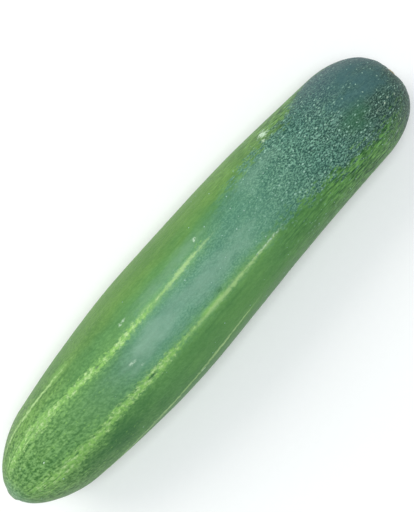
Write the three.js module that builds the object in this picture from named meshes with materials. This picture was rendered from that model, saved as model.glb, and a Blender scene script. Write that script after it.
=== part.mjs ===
// A fresh cucumber, whole and smooth skinned, lying as picked on a level surface.
//
// Millimetres, +Z up. The origin is on that surface, under the middle of the fruit's length and
// width. +X runs towards the stem end and -X towards the blossom end.
//
// The fruit grew as one piece, so it is one solid: a round profile turned about the fruit's length,
// then given the nine low ridges under its stripes, its three rounded sides, its slight bow, the
// scar that each end keeps, and the flat spot that its own weight presses into the underside.
import * as THREE from "three";

// Length and girth. The profile is measured from the blossom tip.
const LENGTH = 210;
const BELLY_RADIUS = 23.9; // half the thickest girth
const BELLY_AT = 83; // where the fruit is thickest
const BLOSSOM_DROP = 9.5; // how much thinner the body's line has become at the blossom tip
const BLOSSOM_DROP_POWER = 1.72;
const STEM_DROP = 4.7; // the same at the stem tip
const STEM_DROP_POWER = 1.44;

// The two round ends: the length over which each closes, and how full it is. A fullness of 2 is an
// ellipse, and more is blunter.
const BLOSSOM_CAP = 25.5;
const BLOSSOM_FULLNESS = 2.25;
const STEM_CAP = 23;
const STEM_FULLNESS = 2.8;

// How the fruit lies
const BOW = 1.65; // sideways, towards +Y, on the stem half
const BOW_POWER = 1.72; // puts the middle of the bow past the middle of the fruit
const LEAN = -4.2; // the stem tip's middle lies this much lower than the blossom tip's

// The flat spot that the fruit rests on, in the finished part's own X and Y. It is a long triangle
// round the centre of mass, and the skin curves away from its sides at a very low slope at first.
const REST_DEPTH = 0.6; // how much of the underside is pressed flat
const REST_CORNERS = [
  [-40, 0.5],
  [8, -6],
  [42, 5],
];
const REST_SLOPE = 0.02;

// Nine ridges. Each has its angle round the fruit, where 0 is the top and +90 faces -Y, and how many
// degrees it has turned aside by the blossom tip. The fruit lies between the ridges at 160 and 200.
const RIDGES = [
  [-56, -9],
  [-19.5, -12],
  [24.5, 3],
  [68, 11],
  [114, 6],
  [160, 2],
  [200, -2],
  [235, -5],
  [269.5, -7],
];
const RIDGE_TURN_REACH = 65; // how far from the blossom tip the turning starts
const RIDGE_TURN_POWER = 1.5;
const RIDGE_HEIGHT = 0.42;
const RIDGE_HALF_WIDTH = 10.5; // degrees
const RIDGE_FADE = 0.55; // share of the height lost by the stem end
const LOBE_HEIGHT = 0.25; // three broad sides, one for each seed chamber
const LOBE_TURN = 24.5;

// Scars on the two tips
const STEM_SCAR_RADIUS = 3.4; // where the stalk came away
const STEM_SCAR_RISE = 0.7;
const STEM_DIMPLE_RADIUS = 6.5;
const STEM_DIMPLE_DEPTH = 1.5;
const BLOSSOM_SCAR_RADIUS = 2.4; // a corky ring left by the flower
const BLOSSOM_SCAR_RISE = 0.45;
const BLOSSOM_SCAR_WIDTH = 0.9;

// How finely the solid is faceted
const SEGMENTS = 72;
const CAP_RINGS = 15;
const BODY_RINGS = 22;
const CAP_RING_POWER = 1.3; // crowds the rings towards the scars

const radians = THREE.MathUtils.degToRad;

// The body's half girth at a distance from the blossom tip, without the round ends.
function bodyRadius(x) {
  const toBlossom = Math.max(0, BELLY_AT - x) / BELLY_AT;
  const toStem = Math.max(0, x - BELLY_AT) / (LENGTH - BELLY_AT);
  return (
    BELLY_RADIUS -
    BLOSSOM_DROP * toBlossom ** BLOSSOM_DROP_POWER -
    STEM_DROP * toStem ** STEM_DROP_POWER
  );
}

// The share of the body's half girth that is left a given way in from a tip.
function capShare(fromTip, capLength, fullness) {
  const open = Math.max(0, 1 - fromTip / capLength);
  return (1 - open * open) ** (1 / fullness);
}

function profileRadius(x) {
  const blossomShare = capShare(x, BLOSSOM_CAP, BLOSSOM_FULLNESS);
  const stemShare = capShare(LENGTH - x, STEM_CAP, STEM_FULLNESS);
  return bodyRadius(x) * blossomShare * stemShare;
}

// A bell curve that is 1 at nought and has almost gone at twice the width.
function bell(distance, width) {
  return Math.exp(-((distance / width) ** 2));
}

// The profile from tip to tip: radius across, distance from the blossom tip up.
function profilePoints() {
  const capTurn = (k) => (Math.PI / 2) * (k / CAP_RINGS) ** CAP_RING_POWER;
  const stations = [];
  for (let k = 0; k <= CAP_RINGS; k++) {
    stations.push(BLOSSOM_CAP * (1 - Math.cos(capTurn(k))));
  }
  for (let k = 1; k < BODY_RINGS; k++) {
    stations.push(THREE.MathUtils.lerp(BLOSSOM_CAP, LENGTH - STEM_CAP, k / BODY_RINGS));
  }
  for (let k = CAP_RINGS; k >= 0; k--) {
    stations.push(LENGTH - STEM_CAP * (1 - Math.cos(capTurn(k))));
  }
  return stations.map((x) => new THREE.Vector2(profileRadius(x), x));
}

// How far each tip's scar and dimple move the skin along the fruit, outwards from the middle.
function tipRelief(radius, x) {
  if (x < BLOSSOM_CAP) {
    return BLOSSOM_SCAR_RISE * bell(radius - BLOSSOM_SCAR_RADIUS, BLOSSOM_SCAR_WIDTH);
  }
  if (x > LENGTH - STEM_CAP) {
    const plug = 1 - THREE.MathUtils.smoothstep(radius, STEM_SCAR_RADIUS - 0.6, STEM_SCAR_RADIUS + 0.6);
    return STEM_SCAR_RISE * plug - STEM_DIMPLE_DEPTH * bell(radius, STEM_DIMPLE_RADIUS);
  }
  return 0;
}

// How far the ridges and the three broad sides lift the skin at an angle in degrees.
function sideRelief(angle, x) {
  let lift = LOBE_HEIGHT * Math.cos(radians(3 * (angle - LOBE_TURN)));
  const ridge = RIDGE_HEIGHT * (1 - RIDGE_FADE * (x / LENGTH));
  const turned = Math.max(0, 1 - x / RIDGE_TURN_REACH) ** RIDGE_TURN_POWER;
  for (const [middle, aside] of RIDGES) {
    const fromRidge = angle - middle - aside * turned;
    const apart = THREE.MathUtils.euclideanModulo(fromRidge + 180, 360) - 180;
    lift += ridge * bell(apart, RIDGE_HALF_WIDTH);
  }
  return lift;
}

function sidewaysBow(x) {
  return BOW * Math.sin(Math.PI * (x / LENGTH) ** BOW_POWER) ** 2;
}

// The turned profile with each of its points moved to the fruit's real shape.
function fruitGeometry() {
  const geometry = new THREE.LatheGeometry(profilePoints(), SEGMENTS);
  geometry.deleteAttribute("normal");
  geometry.deleteAttribute("uv");
  const position = geometry.getAttribute("position");
  for (let i = 0; i < position.count; i++) {
    const x = position.getY(i);
    const turn = Math.atan2(position.getX(i), position.getZ(i));
    const radius = Math.hypot(position.getX(i), position.getZ(i));
    const outwards = x < LENGTH / 2 ? -1 : 1;
    const share = radius / BELLY_RADIUS;
    const lifted = radius + sideRelief(THREE.MathUtils.radToDeg(turn), x) * Math.min(1, share);
    position.setXYZ(
      i,
      x + outwards * tipRelief(radius, x),
      sidewaysBow(x) - (radius > 0 ? lifted : 0) * Math.sin(turn),
      LEAN * (x / LENGTH) + (radius > 0 ? lifted : 0) * Math.cos(turn),
    );
  }
  return geometry;
}

// How far a point of the underside lies beyond the sides of the flat spot.
function beyondSpot(x, y) {
  const beyondSides = REST_CORNERS.map(([x1, y1], i) => {
    const [x2, y2] = REST_CORNERS[(i + 1) % REST_CORNERS.length];
    return ((y2 - y1) * (x - x1) - (x2 - x1) * (y - y1)) / Math.hypot(x2 - x1, y2 - y1);
  });
  return Math.max(0, ...beyondSides);
}

// The vertex of the underside that is nearest to a corner of the flat spot.
function nearestBelow(position, x, y) {
  let nearest = 0;
  let least = Infinity;
  for (let i = 0; i < position.count; i++) {
    const away = Math.hypot(position.getX(i) - x, position.getY(i) - y);
    if (position.getZ(i) < BELLY_RADIUS / 2 && away < least) {
      nearest = i;
      least = away;
    }
  }
  return nearest;
}

// Puts the origin under the middle of the fruit and presses the underside onto its flat spot.
function settle(geometry) {
  geometry.computeBoundingBox();
  const box = geometry.boundingBox;
  const middle = box.getCenter(new THREE.Vector3());
  geometry.translate(-middle.x, -middle.y, -box.min.z - REST_DEPTH);
  const position = geometry.getAttribute("position");
  for (let i = 0; i < position.count; i++) {
    const floor = REST_SLOPE * beyondSpot(position.getX(i), position.getY(i));
    position.setZ(i, Math.max(floor, position.getZ(i)));
  }
  for (const [x, y] of REST_CORNERS) {
    position.setXYZ(nearestBelow(position, x, y), x, y, 0);
  }
  return geometry;
}

const skin = new THREE.MeshStandardMaterial({ color: 0x55834f, roughness: 0.42, metalness: 0 });

const cucumber = new THREE.Mesh(settle(fruitGeometry()), skin);
cucumber.name = "cucumber";

const part = new THREE.Group();
part.add(cucumber);

export default part;
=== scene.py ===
# A whole fresh cucumber: its skin with the stripes, flecks and marks on it, and its two end scars.
#
# The file is laid out as an add-on and run as a script. Everything is in metres, with +Z up, in the
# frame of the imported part: the fruit lies along X, and +X runs towards the stem end. Sizes that read
# better in millimetres are written as a number times MM. Angles round the fruit are in degrees: 0 is
# the top, and +90 faces -Y.

import math

import bpy
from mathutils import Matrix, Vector, noise
from mathutils.bvhtree import BVHTree


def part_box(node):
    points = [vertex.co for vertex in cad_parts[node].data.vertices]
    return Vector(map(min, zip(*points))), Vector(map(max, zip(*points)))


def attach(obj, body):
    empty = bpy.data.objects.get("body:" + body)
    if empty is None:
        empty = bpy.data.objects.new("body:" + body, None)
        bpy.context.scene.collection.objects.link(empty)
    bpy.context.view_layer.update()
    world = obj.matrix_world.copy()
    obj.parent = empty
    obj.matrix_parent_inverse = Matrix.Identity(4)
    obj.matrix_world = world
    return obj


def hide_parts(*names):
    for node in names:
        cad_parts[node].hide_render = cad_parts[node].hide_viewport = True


bl_info = {
    "name": "Fresh cucumber",
    "version": (1, 0, 0),
    "blender": (4, 5, 0),
    "location": "3D View > Sidebar > Cucumber",
    "description": "Grows a cucumber with a striped, flecked skin and scarred ends on its packed solid",
    "category": "Add Mesh",
}

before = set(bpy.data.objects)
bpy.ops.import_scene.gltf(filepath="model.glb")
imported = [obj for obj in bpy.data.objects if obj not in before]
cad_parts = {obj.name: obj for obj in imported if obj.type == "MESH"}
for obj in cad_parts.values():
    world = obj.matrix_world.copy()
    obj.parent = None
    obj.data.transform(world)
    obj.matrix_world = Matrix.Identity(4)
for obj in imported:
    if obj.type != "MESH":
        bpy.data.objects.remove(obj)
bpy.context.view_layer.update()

MM = 0.001
NODE = "cucumber"

MATH = "ShaderNodeMath"
VECTOR = "ShaderNodeVectorMath"
RANGE = "ShaderNodeMapRange"
NOISE = "ShaderNodeTexNoise"
MIX = "ShaderNodeMix"
COMBINE = "ShaderNodeCombineXYZ"
SEPARATE = "ShaderNodeSeparateXYZ"

# Each stripe and the ridge under it: its angle at the belly, how many degrees it has turned aside by
# the blossom tip and by the stem tip, half its width in mm, where it starts and ends in mm along the
# fruit, and how strongly it shows
STRIPES = [
    (-47.4, -14.4, 0, 0.6, 6, 60, 0.8),
    (-18.5, -25, -5.5, 1.35, 3, 128, 1.0),
    (21, 4, 5, 1.55, 2, 144, 0.93),
    (62, 35, -20, 0.62, 16, 122, 0.8),
    (114, 6, 0, 1.2, 4, 124, 0.9),
    (160, 2, 0, 1.6, 2, 138, 0.9),
    (200, -2, 0, 1.3, 3, 120, 0.8),
    (235, -5, 0, 1.5, 3, 132, 0.9),
    (269.5, -7, 0, 0.9, 6, 108, 0.85),
]
THIN_STRIPE = 0.85  # a stripe of less half width is a pale line of one strand
TURN_REACH = 75  # mm from the blossom tip within which the stripes turn
TURN_POWER = 1.5
STEM_REACH = 135  # mm from the stem tip within which they turn the other way

# The share of the mesh's rings that each round end gets, how they crowd towards the tips, and the
# angle of the UV map's seam, on the underside
BLOSSOM_SHARE = 0.17
STEM_SHARE = 0.15
CAP_RING_POWER = 1.3
SEAM = 180.0
MERGE_WITHIN = 0.001 * MM  # points nearer than this are made one

# How far the edge of the stalk's scar is rounded to each side, how far out the folds into the hollow
# reach, and the share of a ridge at which a fold turns from a dip into a rise
SCAR_EDGE = 0.6 * MM
FOLDS_REACH = 14 * MM
FOLDS_TURN = 0.45

# The next tables hold patches on the skin. Each row has the patch's place along the fruit in mm, its
# angle, its length and width in mm, and its strength.

# Dark gaps inside the stripes, where the green shows through
GAPS = [
    (58.8, -20.6, 5.0, 1.6, 0.75),
    (69.4, 20.6, 6.4, 1.7, 0.9),
    (47.5, 20.3, 2.8, 1.0, 0.7),
    (107.2, 16.6, 4.2, 2.0, 0.55),
    (31.0, 20.0, 3.4, 0.9, 0.8),
    (74.0, 160.5, 4.0, 1.1, 0.8),
    (49.0, 235.0, 3.0, 1.0, 0.8),
]
# Light green blots beside the stripes, and the hooked end of the second stripe
BLOTS = [
    (114.0, -23.5, 5.0, 2.2, 0.9),
    (86.0, -19.0, 18.0, 3.4, 0.55),
    (46.0, -50.5, 2.4, 1.6, 0.8),
    (26.0, -46.0, 34.0, 13.0, 0.6),
    (44.0, 11.0, 5.0, 4.0, 0.35),
    (53.0, 22.5, 14.0, 4.4, 0.5),
    (126.0, 22.0, 30.0, 2.4, 0.8),
    (96.0, 158.0, 22.0, 4.0, 0.6),
    (70.0, 236.0, 18.0, 4.2, 0.6),
]
# Broad, soft lighter zones along the stripes
GLOWS = [
    (104.0, 20.5, 46.0, 7.0, 0.8),
    (88.0, -19.5, 32.0, 6.0, 0.5),
    (44.0, -52.0, 18.0, 7.0, 0.5),
    (98.0, 236.0, 40.0, 7.0, 0.5),
    (112.0, 48.0, 84.0, 26.0, 0.16),
]
# Broad, soft darker zones: painted shade on the lower side near the blossom end, and darker patches
# on top by the stem and under the fruit near the blossom end
SHADES_AND_DARKER_PATCHES = [
    (46.0, 44.0, 62.0, 25.0, 0.65),
    (186.0, 4.0, 28.0, 16.0, 0.5),
    (40.0, 178.0, 36.0, 12.0, 0.3),
]
# Dry, pale scuffs and single bright flecks. The flecks from 186 mm on and the short mark at 208 mm on
# the stem tip's rim are painted glints of highlight.
SCUFFS_AND_GLINTS = [
    (159.8, -60.0, 7.0, 7.5, 1.0),
    (157.6, -50.0, 3.4, 2.4, 0.8),
    (114.5, -29.5, 3.4, 3.2, 0.8),
    (76.0, -30.0, 5.6, 2.4, 0.75),
    (68.5, 1.0, 6.0, 2.0, 0.6),
    (70.5, 8.0, 2.6, 1.4, 0.35),
    (82.0, 62.0, 6.0, 2.0, 0.55),
    (131.0, 22.0, 24.0, 1.3, 0.6),
    (20.5, 1.0, 1.0, 0.8, 0.9),
    (208.0, 34.0, 0.8, 2.6, 0.9),
    (192.0, 16.0, 1.8, 0.9, 0.8),
    (196.0, 16.5, 1.8, 0.9, 0.9),
    (198.4, 15.0, 1.8, 1.0, 1.0),
    (201.5, 20.0, 1.8, 1.0, 1.0),
    (197.0, 46.0, 2.6, 1.1, 0.9),
    (193.0, 54.0, 2.8, 1.1, 0.9),
    (190.0, 52.0, 2.2, 0.9, 0.7),
    (186.5, 50.0, 2.8, 0.9, 0.7),
    (131.0, 150.0, 4.0, 2.0, 0.7),
    (52.0, 215.0, 3.0, 2.4, 0.6),
]
# Fine dark lines in the side near the stem
DARK_LINES = [
    (146.0, 37.0, 26.0, 0.5, 0.6),
    (156.0, 45.0, 30.0, 0.5, 0.6),
    (166.0, 31.0, 18.0, 0.5, 0.5),
    (178.0, 52.0, 24.0, 0.5, 0.5),
    (172.0, 122.0, 26.0, 0.5, 0.5),
    (160.0, 262.0, 24.0, 0.5, 0.5),
]
# A pale film along the top: partly the fruit's waxy bloom, partly a painted sheen that stands for the
# reflection of the light above
FILMS_AND_SHEEN = [
    (102.0, 1.0, 98.0, 16.0, 0.42),
    (82.0, 0.0, 66.0, 13.0, 0.55),
    (104.0, -30.0, 70.0, 10.0, 0.27),
    (147.0, -30.0, 40.0, 13.0, 0.3),
]
# Where the skin by the stem is smooth, with hardly a fleck, and tinted slate: partly a bluish wax
# bloom, partly a painted reflection
SMOOTH_REFLECTION_PATCH = (195.0, -24.0, 50.0, 42.0, 0.8)
# The yellow patch that the fruit lay on while it grew
GROUND_PATCH = (104.0, 182.0, 96.0, 26.0, 0.55)

# Grain of each pattern in mm, about the width of one of its tufts, flecks or strands. Real flecks are
# nearer 0.3 mm and are drawn as coarse as they need to be to show.
GRAIN = {
    "mottle": 0.85,
    "fleck": 0.52,
    "dash": 0.95,
    "streak": 1.1,
    "bead": 1.1,
    "strand": 1.2,
    "ragged": 0.9,
    "jag": 1.0,
    "fringe": 1.0,
    "tuft": 2.0,
    "ground": 4.0,
    "drift": 5.0,
    "soft": 6.0,
    "cloud": 8.0,
    "swelling": 11.0,
    "wander": 26.0,
    "pore": 2.5,
    "tissue": 0.5,
    "paper": 3.0,
}
# What a pattern multiplies the skin's red, green and blue by, where it is darkest and where lightest
GAINS = {
    "cloud": ((0.82, 0.88, 0.9), (1.18, 1.11, 1.09)),
    "streak": ((0.74, 0.82, 0.82), (1.3, 1.2, 1.22)),
    "mottle": ((0.5, 0.6, 0.52), (1.7, 1.38, 1.66)),
    "dash": ((0.2, 0.34, 0.42), (1.7, 1.55, 1.6)),
    "fleck": ((0.22, 0.3, 0.36), (3.6, 2.15, 2.35)),
}

# The discs of tissue on the two tips
SCAR_RINGS = 18
SCAR_SEGMENTS = 72
CAST_FROM = 20 * MM  # how far off the tip their points start, to be cast onto the skin

# Where the camera hangs over the floor, a little aside from the middle of the fruit
CAMERA_PLACE = (8.78 * MM, 4.53 * MM)


def linear(text):
    """Turns an sRGB hex colour such as "#55834f" into linear red, green and blue."""
    parts = [int(text[i : i + 2], 16) / 255 for i in (1, 3, 5)]
    return tuple(p / 12.92 if p <= 0.04045 else ((p + 0.055) / 1.055) ** 2.4 for p in parts)


class CucumberShape(bpy.types.PropertyGroup):
    """The fruit's driving dimensions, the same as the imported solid's, and its fine relief."""

    rings: bpy.props.IntProperty(name="Rings", description="Steps along the fruit", default=250)
    segments: bpy.props.IntProperty(name="Segments", description="Steps round it", default=361)
    length: bpy.props.FloatProperty(
        name="Length", description="From tip to tip", default=210 * MM, unit="LENGTH"
    )
    belly_radius: bpy.props.FloatProperty(
        name="Belly Radius", description="Half the thickest girth", default=23.9 * MM, unit="LENGTH"
    )
    belly_at: bpy.props.FloatProperty(
        name="Belly At", description="Blossom tip to the belly", default=83 * MM, unit="LENGTH"
    )
    blossom_drop: bpy.props.FloatProperty(
        name="Blossom Drop", description="Thinning to the blossom", default=9.5 * MM, unit="LENGTH"
    )
    blossom_power: bpy.props.FloatProperty(
        name="Blossom Power", description="How late that thinning comes", default=1.72
    )
    stem_drop: bpy.props.FloatProperty(
        name="Stem Drop", description="Thinning to the stem", default=4.7 * MM, unit="LENGTH"
    )
    stem_power: bpy.props.FloatProperty(
        name="Stem Power", description="How late that thinning comes", default=1.44
    )
    blossom_cap: bpy.props.FloatProperty(
        name="Blossom Cap", description="Length of the round end", default=25.5 * MM, unit="LENGTH"
    )
    blossom_fullness: bpy.props.FloatProperty(
        name="Blossom Fullness", description="2 is an ellipse, more is blunter", default=2.25
    )
    stem_cap: bpy.props.FloatProperty(
        name="Stem Cap", description="Length of the round end", default=23 * MM, unit="LENGTH"
    )
    stem_fullness: bpy.props.FloatProperty(
        name="Stem Fullness", description="2 is an ellipse, more is blunter", default=2.8
    )
    bow: bpy.props.FloatProperty(
        name="Bow", description="Sideways bow towards +Y", default=1.65 * MM, unit="LENGTH"
    )
    bow_power: bpy.props.FloatProperty(
        name="Bow Power", description="Puts the bow past the middle", default=1.72
    )
    lean: bpy.props.FloatProperty(
        name="Lean", description="Rise from blossom tip to stem tip", default=-4.2 * MM, unit="LENGTH"
    )
    ridge_height: bpy.props.FloatProperty(
        name="Ridge Height", description="Of the nine low ridges", default=0.42 * MM, unit="LENGTH"
    )
    ridge_width: bpy.props.FloatProperty(
        name="Ridge Width", description="Half a ridge's width in degrees", default=10.5
    )
    ridge_fade: bpy.props.FloatProperty(
        name="Ridge Fade", description="Share lost by the stem end", default=0.55
    )
    lobe_height: bpy.props.FloatProperty(
        name="Lobe Height", description="Of the three broad sides", default=0.25 * MM, unit="LENGTH"
    )
    lobe_turn: bpy.props.FloatProperty(
        name="Lobe Turn", description="Angle of the first side in degrees", default=24.5
    )
    stem_scar: bpy.props.FloatProperty(
        name="Stem Scar", description="Radius of the stalk's scar", default=3.4 * MM, unit="LENGTH"
    )
    stem_rise: bpy.props.FloatProperty(
        name="Stem Rise", description="How far the scar stands up", default=0.7 * MM, unit="LENGTH"
    )
    dimple_radius: bpy.props.FloatProperty(
        name="Dimple Radius", description="Of the hollow round the scar", default=6.5 * MM, unit="LENGTH"
    )
    dimple_depth: bpy.props.FloatProperty(
        name="Dimple Depth", description="Of the hollow round the scar", default=1.5 * MM, unit="LENGTH"
    )
    pucker: bpy.props.FloatProperty(
        name="Pucker", description="Folds round the stalk's scar", default=0.35 * MM, unit="LENGTH"
    )
    blossom_scar: bpy.props.FloatProperty(
        name="Blossom Scar", description="Radius of the flower's scar", default=2.4 * MM, unit="LENGTH"
    )
    blossom_rise: bpy.props.FloatProperty(
        name="Blossom Rise", description="How far its ring stands up", default=0.45 * MM, unit="LENGTH"
    )
    blossom_width: bpy.props.FloatProperty(
        name="Blossom Width", description="Of the ring of that scar", default=0.9 * MM, unit="LENGTH"
    )
    rest_depth: bpy.props.FloatProperty(
        name="Rest Depth", description="How much is pressed flat below", default=0.6 * MM, unit="LENGTH"
    )
    swell: bpy.props.FloatProperty(
        name="Swell", description="Broad unevenness of the flesh", default=0.5 * MM, unit="LENGTH"
    )
    furrow: bpy.props.FloatProperty(
        name="Furrow", description="Fine lengthwise furrows", default=0.16 * MM, unit="LENGTH"
    )
    pebble: bpy.props.FloatProperty(
        name="Pebble", description="Pebbling of the skin", default=0.1 * MM, unit="LENGTH"
    )


class CucumberDots(bpy.types.PropertyGroup):
    """The pale breathing pores that stand on the skin as tiny domes."""

    apart: bpy.props.FloatProperty(
        name="Apart", description="Least distance between two", default=2.2 * MM, unit="LENGTH"
    )
    per_area: bpy.props.FloatProperty(
        name="Per Area", description="Most to a square metre", default=60000
    )
    radius: bpy.props.FloatProperty(
        name="Radius", description="Of the largest", default=0.3 * MM, unit="LENGTH"
    )
    clearance: bpy.props.FloatProperty(
        name="Clearance", description="Height kept free below", default=4 * MM, unit="LENGTH"
    )
    seed: bpy.props.IntProperty(name="Seed", description="Of the scatter", default=11)


class CucumberScars(bpy.types.PropertyGroup):
    """The dry tissue where the stalk came away and where the flower fell."""

    stem_radius: bpy.props.FloatProperty(
        name="Stem Radius", description="Of the stalk's scar", default=3.7 * MM, unit="LENGTH"
    )
    blossom_radius: bpy.props.FloatProperty(
        name="Blossom Radius", description="Of the flower's scar", default=2.9 * MM, unit="LENGTH"
    )
    bundles: bpy.props.IntProperty(
        name="Bundles", description="Ends of veins in the stalk's scar", default=10
    )
    depth: bpy.props.FloatProperty(
        name="Depth", description="How deep the tissue reaches in", default=0.8 * MM, unit="LENGTH"
    )
    cut: bpy.props.FloatVectorProperty(
        name="Cut Face", description="Dried stalk", subtype="COLOR", default=linear("#a79a63")
    )
    vein: bpy.props.FloatVectorProperty(
        name="Vein", description="Ends of veins", subtype="COLOR", default=linear("#5d5334")
    )
    cork: bpy.props.FloatVectorProperty(
        name="Cork", description="Healed corky rim", subtype="COLOR", default=linear("#b9ab84")
    )
    withered: bpy.props.FloatVectorProperty(
        name="Withered", description="Remains of the flower", subtype="COLOR", default=linear("#4a3a24")
    )


class CucumberSkin(bpy.types.PropertyGroup):
    """The colours of the skin. Those that fade along the fruit are named for where they are."""

    # Paler green round the flower's scar, with a painted bluish reflection on the rim of the blossom end
    blossom_tip: bpy.props.FloatVectorProperty(
        name="Blossom Tip", description="Round the flower's scar", subtype="COLOR", default=linear("#6a9a6a")
    )
    blossom: bpy.props.FloatVectorProperty(
        name="Blossom Green", description="At the blossom end", subtype="COLOR", default=linear("#5d8e4c")
    )
    belly: bpy.props.FloatVectorProperty(
        name="Belly Green", description="On the sides", subtype="COLOR", default=linear("#55884c")
    )
    shoulder: bpy.props.FloatVectorProperty(
        name="Shoulder Green", description="Sides near the stem", subtype="COLOR", default=linear("#568a45")
    )
    # Yellower green of the side facing +Y, painted lighter where the side light falls
    yellow_lit_side: bpy.props.FloatVectorProperty(
        name="Yellow Lit Side", description="Yellower side, facing +Y", subtype="COLOR", default=linear("#608c46")
    )
    back_blossom: bpy.props.FloatVectorProperty(
        name="Back Blossom", description="Top near the flower", subtype="COLOR", default=linear("#538253")
    )
    back_middle: bpy.props.FloatVectorProperty(
        name="Back Middle", description="Along the top", subtype="COLOR", default=linear("#50866a")
    )
    back_stem: bpy.props.FloatVectorProperty(
        name="Back Stem", description="Top near the stem", subtype="COLOR", default=linear("#3e7560")
    )
    stem_tip: bpy.props.FloatVectorProperty(
        name="Stem Tip", description="Round the stalk's scar", subtype="COLOR", default=linear("#36604f")
    )
    stripe: bpy.props.FloatVectorProperty(
        name="Stripe", description="Of the stripes", subtype="COLOR", default=linear("#86b95f")
    )
    stripe_pale: bpy.props.FloatVectorProperty(
        name="Stripe Pale", description="Brightest beads in them", subtype="COLOR", default=linear("#c0dba0")
    )
    gap: bpy.props.FloatVectorProperty(
        name="Gap", description="Green inside the stripes", subtype="COLOR", default=linear("#2d6238")
    )
    # Of the dry scuffs, and of the painted glints of highlight by the stem
    scuff_and_glint: bpy.props.FloatVectorProperty(
        name="Scuff And Glint", description="Dry corky marks", subtype="COLOR", default=linear("#c4dcc2")
    )
    # Partly a bluish wax bloom, partly a painted reflection, by the stem
    slate_and_reflection: bpy.props.FloatVectorProperty(
        name="Slate And Reflection", description="Smooth patch by the stem", subtype="COLOR", default=linear("#4b6a7a")
    )
    # Partly the waxy bloom, partly a painted sheen of the light above
    film: bpy.props.FloatVectorProperty(
        name="Film And Sheen", description="Thin waxy film", subtype="COLOR", default=linear("#98b7a2")
    )
    ground: bpy.props.FloatVectorProperty(
        name="Ground Patch", description="Patch that lay on soil", subtype="COLOR", default=linear("#a3ad55")
    )
    pore: bpy.props.FloatVectorProperty(
        name="Pore", description="Of the pale dots", subtype="COLOR", default=linear("#a4ccb8")
    )


class CucumberStudio(bpy.types.PropertyGroup):
    """The floor, the lights and the camera."""

    floor_size: bpy.props.FloatProperty(
        name="Floor Size", description="Length of its side", default=6.0, unit="LENGTH"
    )
    floor_colour: bpy.props.FloatVectorProperty(
        name="Floor Colour", description="Of the paper", subtype="COLOR", default=linear("#fbfbfa")
    )
    camera_height: bpy.props.FloatProperty(
        name="Camera Height", description="Above the floor", default=0.42, unit="LENGTH"
    )
    camera_lens: bpy.props.FloatProperty(
        name="Camera Lens", description="Focal length in millimetres", default=75.2
    )
    camera_turn: bpy.props.FloatProperty(
        name="Camera Turn",
        description="Turn about its line of sight",
        default=math.radians(-48.15),
        subtype="ANGLE",
    )
    overhead_power: bpy.props.FloatProperty(
        name="Overhead", description="Of the soft light above", default=6.6, unit="POWER"
    )
    side_power: bpy.props.FloatProperty(
        name="Side", description="Of the soft light at the side", default=5.6, unit="POWER"
    )
    sky_strength: bpy.props.FloatProperty(
        name="Sky", description="Of the even light from all round", default=0.42
    )


def add(tree, kind, *values, named=None, **settings):
    """Adds a node with its settings, fills or links its inputs in order and by name, and returns it."""
    node = tree.nodes.new(kind)
    for key, value in settings.items():
        setattr(node, key, value)
    sockets = [socket for socket in node.inputs if socket.enabled]
    pairs = list(zip(sockets, values))
    for name, value in (named or {}).items():
        pairs.append((next(socket for socket in sockets if socket.name == name), value))
    for socket, value in pairs:
        if isinstance(value, bpy.types.Node):
            value = next(output for output in value.outputs if output.enabled)
        if isinstance(value, bpy.types.NodeSocket):
            tree.links.new(value, socket)
        elif socket.type == "RGBA":
            socket.default_value = (*value[:3], 1.0)
        elif value is not None:
            socket.default_value = value
    return node


def from_stripe(tree, turn, along, stripe):
    """How many degrees a point lies from the middle of a stripe. The stripes turn towards the tips."""
    middle, to_blossom, to_stem = (float(value) for value in stripe[:3])
    near = add(tree, RANGE, along, 0.0, TURN_REACH, 1.0, 0.0)
    near = add(tree, MATH, near, TURN_POWER, operation="POWER")
    far = add(tree, RANGE, along, TURN_REACH, TURN_REACH + STEM_REACH, 0.0, 1.0)
    centre = add(tree, MATH, near, to_blossom, middle, operation="MULTIPLY_ADD")
    centre = add(tree, MATH, far, to_stem, centre, operation="MULTIPLY_ADD")
    apart = add(tree, MATH, turn, centre, operation="SUBTRACT")
    return add(tree, MATH, apart, 180.0, -180.0, operation="WRAP")


def bell(tree, distance, width):
    """A bell curve that is 1 at nought and has almost gone at twice the width."""
    share = add(tree, MATH, distance, width, operation="DIVIDE")
    share = add(tree, MATH, share, share, operation="MULTIPLY")
    share = add(tree, MATH, share, -1.0, operation="MULTIPLY")
    return add(tree, MATH, share, operation="EXPONENT")


def open_tree(name, group):
    """Starts a Geometry Nodes tree with a named input for each of a group's settings."""
    tree = bpy.data.node_groups.new(name, "GeometryNodeTree")
    tree.interface.new_socket("Geometry", in_out="OUTPUT", socket_type="NodeSocketGeometry")
    for setting in group.bl_rna.properties:
        if setting.identifier not in ("rna_type", "name"):
            kind = "NodeSocketInt" if setting.type == "INT" else "NodeSocketFloat"
            tree.interface.new_socket(setting.name, in_out="INPUT", socket_type=kind)
    return tree, tree.nodes.new("NodeGroupInput").outputs


def close_tree(tree, geometry, material):
    """Ends a tree with its instances made real and its material set."""
    real = add(tree, "GeometryNodeRealizeInstances", geometry)
    dressed = add(tree, "GeometryNodeSetMaterial", real, named={"Material": material})
    add(tree, "NodeGroupOutput", dressed)


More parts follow.
